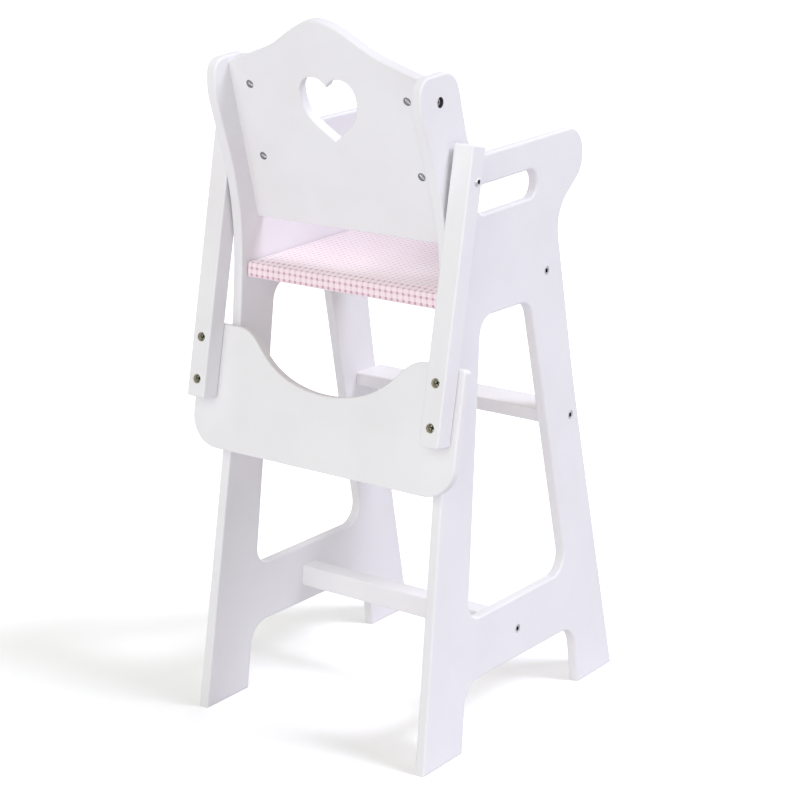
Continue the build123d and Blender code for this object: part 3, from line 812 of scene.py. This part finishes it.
class HIGHCHAIR_OT_seat_pad(bpy.types.Operator):
    """Make the padded gingham cover of the seat"""
    bl_idname = "high_chair.seat_pad"
    bl_label = "Seat pad"

    def execute(self, context):
        s = settings("pad")
        place, (low_half, high_half), depth, height = seat_frame()
        mesh = cover_sheet(high_half, depth, height, s)
        mesh = swell(mesh, height, depth, s)
        for vertex in mesh.vertices:
            level = min(1, max(0, vertex.co.z / height))
            vertex.co.x *= (low_half + (high_half - low_half) * level - s.side_gap) / high_half
        piece = linked("shell", mesh)
        shell = piece.modifiers.new("thickness", "SOLIDIFY")
        shell.thickness, shell.offset = s.cloth, -1
        smoother = piece.modifiers.new("smooth", "SUBSURF")
        smoother.levels = smoother.render_levels = 1
        bpy.context.view_layer.update()
        mesh = applied(piece)
        mesh.transform(place)
        mesh.shade_smooth()
        pad = new_piece("seat_pad", mesh, [gingham()], "frame")
        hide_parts("seat_cover", "seat_foam")
        return {"FINISHED"}


class HIGHCHAIR_OT_wood_screws(bpy.types.Operator):
    """Put cross-recess heads on the screws of the seat, the footrest and the stretcher"""
    bl_idname = "high_chair.wood_screws"
    bl_label = "Wood screws"

    def execute(self, context):
        head = countersunk_head(cross_cutters(*in_mm(settings("hardware").screw_recess)))
        for rail in ("seat", "footrest", "stretcher"):
            dress_fasteners(rail + "_screw_heads", rail + "_screws", head, ("bright", "shadow"), "frame",
                            turn=0.75)
        return {"FINISHED"}


class HIGHCHAIR_OT_bolts(bpy.types.Operator):
    """Make the ear bolts and the bolts that the tray's arms turn on"""
    bl_idname = "high_chair.bolts"
    bl_label = "Bolts"

    def execute(self, context):
        s = settings("hardware")
        pivot = pan_head(s.pivot_radius / MM, cross_cutters(*in_mm(s.pivot_recess)))
        ear = pan_head((s.bolt_radius - s.ear_gap) / MM, hexagon_cutter(*in_mm(s.ear_recess)))
        for side in ("left", "right"):
            dress_fasteners("pivot_bolt_head_" + side, "pivot_bolt_" + side, pivot,
                            ("bright", "shadow"), "frame", turn=0.6, sink=s.pivot_sink)
            dress_fasteners("ear_bolt_head_" + side, "ear_bolt_" + side, ear, ("dull", "shadow"), "frame",
                            sink=-s.ear_rise)
            # Painted shade: a dark tube in each ear bolt's bore.
            line_bores("ear_bore_" + side, "ear_bolt_" + side, s.bolt_radius, EAR_TUBE,
                       bored_wood_and_shade("ear_bore"), "frame")
        return {"FINISHED"}


class HIGHCHAIR_OT_barrel_nuts(bpy.types.Operator):
    """Make the slotted barrel nuts in the back board, and the painted shade in the gaps round them"""
    bl_idname = "high_chair.barrel_nuts"
    bl_label = "Barrel nuts"

    def execute(self, context):
        s = settings("hardware")
        rear = board_normal("back_panel", REARWARDS)
        # The nuts' faces are painted shade and their slots a painted highlight.
        dress_fasteners("barrel_nut_faces", "barrel_nuts", slotted_nut(), ("tarnished", "scraped"),
                        "frame", rear, turn=-pi / 4, turn_step=0.12)
        # Painted shade: a dark ring in the gap round each nut.
        line_bores("barrel_nut_gaps", "barrel_nuts", s.nut_radius, NUT_TUBE, bored_wood_and_shade("ear_bore"),
                   "frame", rear)
        return {"FINISHED"}


class HIGHCHAIR_OT_tray_screws(bpy.types.Operator):
    """Make the tray's screws and the raw walls of their counterbores"""
    bl_idname = "high_chair.tray_screws"
    bl_label = "Tray screws"

    def execute(self, context):
        s = settings("hardware")
        rear = board_normal("tray_board", REARWARDS)
        head = countersunk_head(cross_cutters(*in_mm(s.tray_recess)))
        dress_fasteners("tray_screw_heads", "tray_screws", head, ("chromate", "shadow"), "tray", rear,
                        turn=0.5, sink=-s.tray_rise)
        arm_face = max(p.dot(rear) for p in points_of("tray_arm_left"))
        screw_end = head_places("tray_screws", rear)[0][0].dot(rear)
        inner, outer, top, bottom = TRAY_TUBE
        tube = (inner, outer, (arm_face - screw_end) / MM + top, bottom)
        line_bores("tray_bores", "tray_screws", s.screw_radius, tube, bored_wood_and_shade("bore"), "tray", rear)
        return {"FINISHED"}


class HIGHCHAIR_OT_washers(bpy.types.Operator):
    """Give the washers behind the tray's arms their nylon"""
    bl_idname = "high_chair.washers"
    bl_label = "Washers"

    def execute(self, context):
        plastic = nylon()
        for side in ("left", "right"):
            give_material("pivot_spacer_" + side, plastic)
        return {"FINISHED"}


class HIGHCHAIR_OT_hidden_foam(bpy.types.Operator):
    """Check that the soft solids of the CAD don't show"""
    bl_idname = "high_chair.hidden_foam"
    bl_label = "Hidden foam"

    def execute(self, context):
        for node in ("seat_cover", "seat_foam"):
            if not NODES[node].hide_render:
                raise RuntimeError(node + " still shows")
        return {"FINISHED"}


class HIGHCHAIR_OT_stage(bpy.types.Operator):
    """Lay the floor and set the lamps, the room light and the camera"""
    bl_idname = "high_chair.stage"
    bl_label = "Stage"

    def execute(self, context):
        s = settings("stage")
        context.scene.view_settings.view_transform = "Standard"
        self.lay_floor(s)
        self.light_room(context, s)
        self.set_camera(context, s)
        return {"FINISHED"}

    def lay_floor(self, s):
        made = bmesh.new()
        bmesh.ops.create_grid(made, x_segments=2, y_segments=2, size=s.floor / 2)
        mesh = finished(made, "floor")
        paper = new_material("backdrop_paper_matt")
        path = add_node(paper, "LightPath").outputs["Is Camera Ray"]
        place = add_node(paper, "TexCoord").outputs["Object"]
        far = add_node(paper, "VectorMath", {"operation": "LENGTH"}, {0: place}).outputs["Value"]
        cloud = ranged(paper, object_noise(paper, s.floor_cloud), 0.3, 0.7, 0.99, 1.0)
        # Painted light: for the camera the paper turns paler away from the chair, so that the chair's shadow
        # fades out as it spreads.
        paleness = calculate(paper, "MULTIPLY", cloud, ranged(paper, far, *s.floor_reach, s.floor_near,
                                                              s.floor_far))
        seen = add_node(paper, "BsdfDiffuse", inputs={"Color": paleness})
        real = add_node(paper, "BsdfDiffuse", inputs={"Color": rgba(s.floor_colour)})
        mixed = add_node(paper, "MixShader", inputs={0: path, 1: real.outputs[0], 2: seen.outputs[0]})
        add_node(paper, "OutputMaterial", inputs={"Surface": mixed.outputs[0]})
        mesh.materials.append(paper)
        floor = linked("floor", mesh)

    def light_room(self, context, s):
        world = bpy.data.worlds.new("pale_room")
        context.scene.world = world
        world.use_nodes = True
        world.node_tree.nodes.clear()
        path = add_node(world, "LightPath")
        direct = calculate(world, "MAXIMUM", path.outputs["Is Camera Ray"], path.outputs["Is Glossy Ray"])
        direct = calculate(world, "MAXIMUM", direct, path.outputs["Is Transmission Ray"])
        strength = ranged(world, direct, 0, 1, s.sky, 1.0)
        shown = add_node(world, "Background", inputs={"Color": rgba(WHITE), "Strength": strength})
        add_node(world, "OutputWorld", inputs={"Surface": shown.outputs[0]})
        self.lamp("key_lamp", s.key_travel, s.key, s.key_spread, s.key_colour)
        self.lamp("rear_lamp", s.rear_travel, s.rear, s.broad_spread, s.rear_colour)
        self.lamp("front_lamp", s.front_travel, s.front, s.broad_spread, WHITE)
        self.lamp("left_lamp", s.left_travel, s.left, s.broad_spread, WHITE)

    def lamp(self, name, travel, strength, spread, colour):
        """A far, broad lamp whose light travels in one direction, spread over an angle."""
        light = bpy.data.lights.new(name, "SUN")
        light.energy, light.angle, light.color = strength, spread, colour
        lamp = linked(name, light)
        lamp.rotation_euler = Vector(travel).to_track_quat("-Z", "Y").to_euler()

    def set_camera(self, context, s):
        back = Vector((sin(s.azimuth) * cos(s.elevation), -cos(s.azimuth) * cos(s.elevation),
                       sin(s.elevation)))
        right = Vector((cos(s.azimuth), sin(s.azimuth), 0))
        up = back.cross(right)
        across = right * cos(s.roll) + up * sin(s.roll)
        upwards = up * cos(s.roll) - right * sin(s.roll)
        lens = bpy.data.cameras.new("camera")
        lens.sensor_width, lens.lens = SENSOR, s.lens / MM
        lens.clip_start, lens.clip_end = CLIP
        camera = linked("camera", lens)
        axes = Matrix((across, upwards, back)).transposed().to_4x4()
        camera.matrix_world = Matrix.Translation(s.place) @ axes
        context.scene.camera = camera


OPERATORS = (HIGHCHAIR_OT_painted_boards, HIGHCHAIR_OT_seat_board, HIGHCHAIR_OT_seat_pad,
             HIGHCHAIR_OT_wood_screws, HIGHCHAIR_OT_bolts, HIGHCHAIR_OT_barrel_nuts, HIGHCHAIR_OT_tray_screws,
             HIGHCHAIR_OT_washers, HIGHCHAIR_OT_hidden_foam, HIGHCHAIR_OT_stage)
SETTINGS = {"paint": PaintSettings, "wood": WoodSettings, "pad": PadSettings, "hardware": HardwareSettings,
            "stage": StageSettings}


class HIGHCHAIR_PT_sidebar(bpy.types.Panel):
    """The high chair's sizes, colours and steps"""
    bl_idname = "HIGHCHAIR_PT_sidebar"
    bl_label = "High Chair"
    bl_space_type = "VIEW_3D"
    bl_region_type = "UI"
    bl_category = "High Chair"

    def draw(self, context):
        for operator in OPERATORS:
            self.layout.operator(operator.bl_idname)
        for name, group in SETTINGS.items():
            box = self.layout.box()
            box.label(text=name.capitalize())
            for prop in group.__annotations__:
                box.prop(settings(name), prop)


def register():
    for group in SETTINGS.values():
        bpy.utils.register_class(group)
    for operator in OPERATORS:
        bpy.utils.register_class(operator)
    bpy.utils.register_class(HIGHCHAIR_PT_sidebar)
    for name, group in SETTINGS.items():
        setattr(bpy.types.Scene, "high_chair_" + name, PointerProperty(type=group))


def unregister():
    for name in SETTINGS:
        delattr(bpy.types.Scene, "high_chair_" + name)
    bpy.utils.unregister_class(HIGHCHAIR_PT_sidebar)
    for operator in reversed(OPERATORS):
        bpy.utils.unregister_class(operator)
    for group in reversed(SETTINGS.values()):
        bpy.utils.unregister_class(group)


def main():
    register()
    for operator in OPERATORS:
        area, name = operator.bl_idname.split(".")
        getattr(getattr(bpy.ops, area), name)()


if __name__ == "__main__":
    main()
